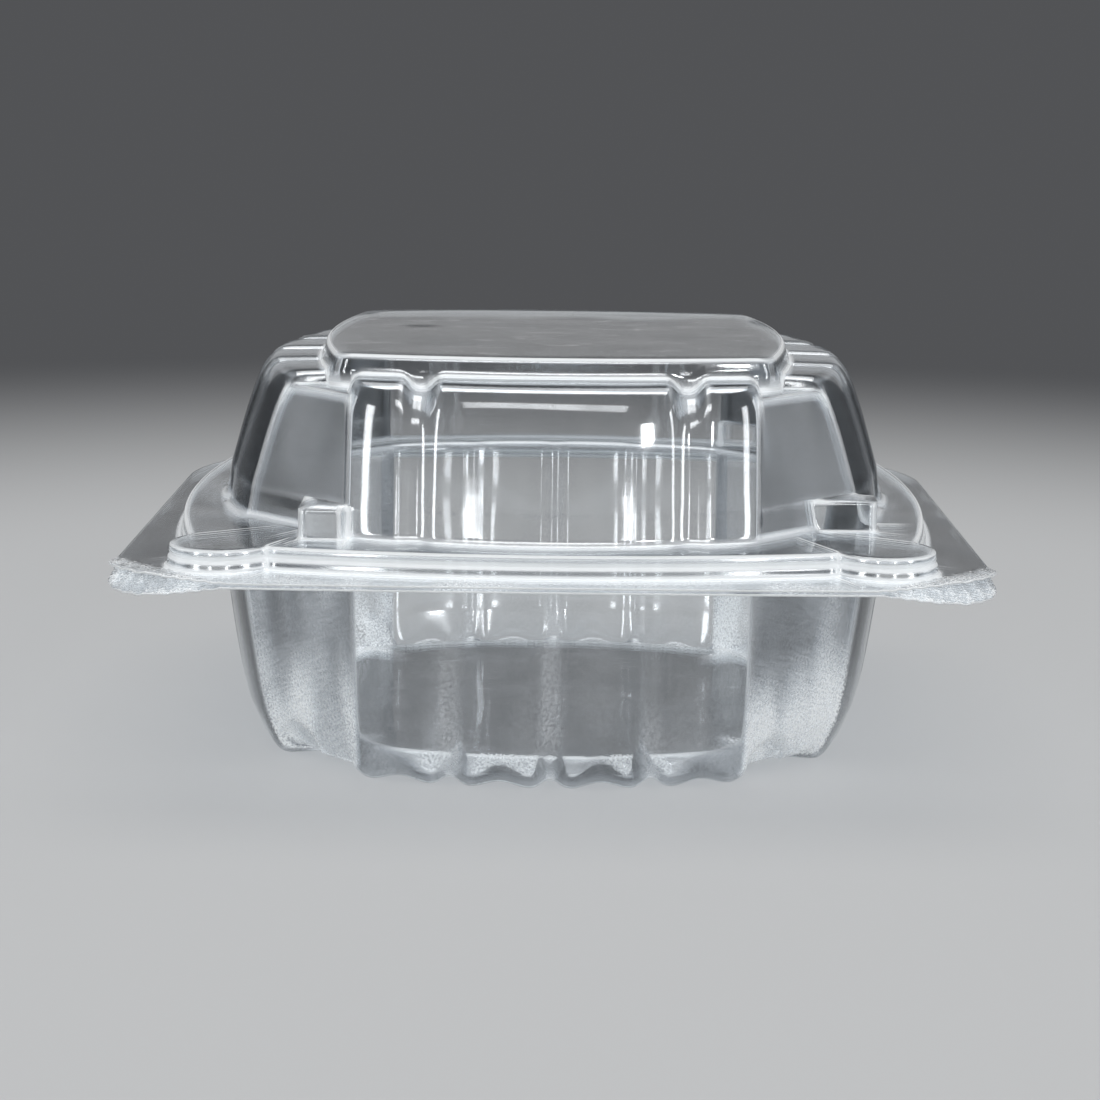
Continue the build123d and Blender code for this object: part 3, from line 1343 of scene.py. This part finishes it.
def add_flange_rows(
    grid: SheetGrid, flange: Flange, foot: np.ndarray, edge: np.ndarray, way: float
) -> None:
    """Adds the flange's rows, with bent tabs and their texture.

    Args:
        grid: The grid that the rows go to.
        flange: The flange's sizes.
        foot: Row at the foot of the bead.
        edge: Row at the cut edge.
        way: 1 for tabs that rise, -1 for tabs that drop.
    """
    for share in np.linspace(0, 1, 21)[1:]:
        row = grid.add_between(foot, edge, float(share), 0.0)
        lift, textured = flange.tab_lift(row, way)
        row[:, 2] += lift
        front = np.clip((-row[:, 1] - flange.frost_start) / 4.0, 0, 1)
        ridges = textured * flange.knurl(row)
        grid.frost[-1] = 0.03 + 0.38 * front * (1 - textured) + 0.04 * textured + 0.96 * ridges


@dataclass
class HingeFilm:
    """Folded film that joins the two flanges along the back."""

    sheet: float = 0.30
    turns: int = 20
    lengths: int = 60

    def build(self) -> bpy.types.Object:
        """Builds the film round the hinge line.

        Returns:
            The piece, with a closed surface.
        """
        low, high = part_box("living_hinge")
        middle = (low.z + high.z) / 2
        radius = (high.z - low.z) / 2
        centre = high.y - radius
        outline = [(low.y, low.z)]
        for step in range(self.turns + 1):
            angle = -QUARTER + math.pi * step / self.turns
            outline.append((centre + radius * math.cos(angle), middle + radius * math.sin(angle)))
        outline.append((low.y, high.z))
        inner = radius - self.sheet * MM
        outline.append((low.y, high.z - self.sheet * MM))
        for step in range(self.turns + 1):
            angle = QUARTER - math.pi * step / self.turns
            outline.append((centre + inner * math.cos(angle), middle + inner * math.sin(angle)))
        outline.append((low.y, low.z + self.sheet * MM))
        places = np.linspace(low.x, high.x, self.lengths)
        count = len(outline)
        points = [(float(x), y, z) for x in places for y, z in outline]
        faces = [
            (
                row * count + index,
                row * count + (index + 1) % count,
                (row + 1) * count + (index + 1) % count,
                (row + 1) * count + index,
            )
            for row in range(self.lengths - 1)
            for index in range(count)
        ]
        faces.append(tuple(range(count - 1, -1, -1)))
        faces.append(tuple(range((self.lengths - 1) * count, self.lengths * count)))
        mesh = bpy.data.meshes.new("hinge_film")
        mesh.from_pydata(points, [], faces)
        mesh.attributes.new("frost", "FLOAT", "POINT").data.foreach_set("value", [0.15] * len(points))
        mesh.attributes.new("scratch", "FLOAT", "POINT").data.foreach_set("value", [0.0] * len(points))
        mesh.shade_smooth()
        piece = bpy.data.objects.new("hinge_film", mesh)
        bpy.context.scene.collection.objects.link(piece)
        return piece


@dataclass(frozen=True)
class Lamp:
    """A soft rectangular lamp: place and size in metres, power in watts."""

    name: str
    place: tuple
    size: tuple
    power: float


@dataclass
class Studio:
    """Pale floor, plain backdrop, soft lamps and the camera."""

    floor_half: float = 4.0
    floor_colour: tuple = (0.56, 0.565, 0.57, 1.0)
    backdrop_colour: tuple = (0.085, 0.087, 0.092, 1.0)
    fill_colour: tuple = (0.30, 0.305, 0.31, 1.0)
    focal_pixels: float = 2581.2
    frame_pixels: float = 1100.0
    sensor: float = 36.0
    camera_place: tuple = (0.001327, -0.499996, 0.12972)
    pitch: float = 10.97
    yaw: float = 0.23
    roll: float = 0.64
    lamp_target: tuple = (0.0, 0.0, 0.04)
    lamps: tuple = (
        Lamp("overhead", (0.0, 0.10, 0.90), (0.9, 0.6), 3.8),
        Lamp("back_soft", (0.0, 0.95, 0.30), (1.3, 0.34), 0.42),
        Lamp("left_side", (-0.80, 0.02, 0.26), (0.34, 0.50), 0.5),
        Lamp("right_side", (0.80, 0.04, 0.26), (0.34, 0.50), 0.5),
        Lamp("left_strip", (-0.62, -0.52, 0.22), (0.09, 0.60), 1.1),
        Lamp("right_strip", (0.66, -0.46, 0.22), (0.09, 0.60), 1.1),
        Lamp("left_low", (-0.30, -0.80, 0.17), (0.06, 0.40), 0.42),
        Lamp("right_low", (0.30, -0.80, 0.17), (0.06, 0.40), 0.42),
        Lamp("front_high", (-0.05, -0.62, 0.66), (0.60, 0.12), 0.8),
        Lamp("spark", (0.40, -0.76, 0.50), (0.07, 0.07), 0.35),
    )
    clear_layers: int = 20
    mirror_bounces: int = 4

    def floor(self) -> None:
        """Lays the floor under the feet."""
        half = self.floor_half
        corners = [(-half, -half, 0), (half, -half, 0), (half, half, 0), (-half, half, 0)]
        mesh = bpy.data.meshes.new("floor")
        mesh.from_pydata(corners, [], [(0, 1, 2, 3)])
        mesh.materials.append(PaleGround("pale_floor", self.floor_colour, self.backdrop_colour).make())
        floor = bpy.data.objects.new("floor", mesh)
        bpy.context.scene.collection.objects.link(floor)

    def world(self) -> None:
        """Sets a plain backdrop for the eye and a plain soft fill for the rest."""
        world = bpy.data.worlds.new("surround")
        world.use_nodes = True
        net = Net.of_tree(world.node_tree)
        colour = net.mix(seen_ray(net), self.fill_colour, self.backdrop_colour)
        light = net.node("ShaderNodeBackground", None, {"Color": colour, "Strength": 1.0})
        net.node("ShaderNodeOutputWorld", None, {0: light})
        bpy.context.scene.world = world

    def hang(self, lamp: Lamp) -> None:
        """Adds one soft rectangular lamp.

        Args:
            lamp: What the lamp is like.
        """
        data = bpy.data.lights.new(lamp.name, "AREA")
        data.shape = "RECTANGLE"
        data.size, data.size_y = lamp.size
        data.energy = lamp.power
        hung = bpy.data.objects.new(lamp.name, data)
        hung.location = lamp.place
        aim = Vector(self.lamp_target) - Vector(lamp.place)
        hung.rotation_mode = "QUATERNION"
        hung.rotation_quaternion = aim.to_track_quat("-Z", "Y")
        hung.visible_camera = False
        bpy.context.scene.collection.objects.link(hung)

    def camera(self) -> None:
        """Places the camera at the photograph's viewing angle."""
        pitch, yaw, roll = (math.radians(value) for value in (self.pitch, self.yaw, self.roll))
        ahead = Vector(
            (-math.sin(yaw) * math.cos(pitch), math.cos(yaw) * math.cos(pitch), -math.sin(pitch))
        )
        right = Vector((math.cos(yaw), math.sin(yaw), 0.0))
        up = right.cross(ahead)
        right_rolled = math.cos(roll) * right + math.sin(roll) * up
        up_rolled = -math.sin(roll) * right + math.cos(roll) * up
        turn = Matrix((right_rolled, up_rolled, -ahead)).transposed().to_4x4()
        data = bpy.data.cameras.new("camera")
        data.sensor_width = self.sensor
        data.lens = self.focal_pixels / self.frame_pixels * self.sensor
        data.clip_start = 0.01
        data.clip_end = 50.0
        camera = bpy.data.objects.new("camera", data)
        camera.matrix_world = Matrix.Translation(self.camera_place) @ turn
        bpy.context.scene.collection.objects.link(camera)
        bpy.context.scene.camera = camera

    def build(self) -> None:
        """Sets up the whole studio."""
        self.floor()
        self.world()
        for lamp in self.lamps:
            self.hang(lamp)
        self.camera()
        bpy.context.scene.view_settings.view_transform = "Standard"
        bpy.context.scene.cycles.transparent_max_bounces = self.clear_layers
        bpy.context.scene.cycles.max_bounces = self.mirror_bounces


def make_finishes() -> dict[Finish, bpy.types.Material]:
    """Makes every material of the pack.

    Returns:
        The materials by finish.
    """
    return {
        Finish.SHEET: ClearPlastic("clear_tray").make(),
        Finish.LID_SHEET: ClearPlastic("clear_lid").make(),
        Finish.FILM: ClearPlastic("clear_film", veil=0.06).make(),
        Finish.CUT_EDGE: CutEdge("cut_edge").make(),
    }


def main() -> None:
    """Builds the pack and its studio, and logs the number of points of each piece."""
    logging.basicConfig(level=logging.INFO)
    Studio().build()
    finishes = make_finishes()
    flange = Flange()
    tray = Tray()
    tray_piece = tray.build(
        flange, Bead(half=69.3, corner=61.0, front_radius=14.0, rear_radius=24.0, button_radius=8.0)
    )
    tray.dress(tray_piece, finishes, Finish.SHEET)
    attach(tray_piece, "tray")
    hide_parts("base_tray")
    LOG.info("%s: %d points", tray_piece.name, len(tray_piece.data.vertices))
    lid = Lid()
    lid_piece = lid.build(
        flange, Bead(half=70.3, corner=62.0, front_radius=14.0, rear_radius=24.0, button_radius=9.0)
    )
    lid.dress(lid_piece, finishes, Finish.LID_SHEET)
    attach(lid_piece, "lid")
    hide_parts("lid")
    LOG.info("%s: %d points", lid_piece.name, len(lid_piece.data.vertices))
    film = HingeFilm().build()
    film.data.materials.append(finishes[Finish.FILM])
    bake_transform(film)
    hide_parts("living_hinge")
    LOG.info("%s: %d points", film.name, len(film.data.vertices))


if __name__ == "__main__":
    main()
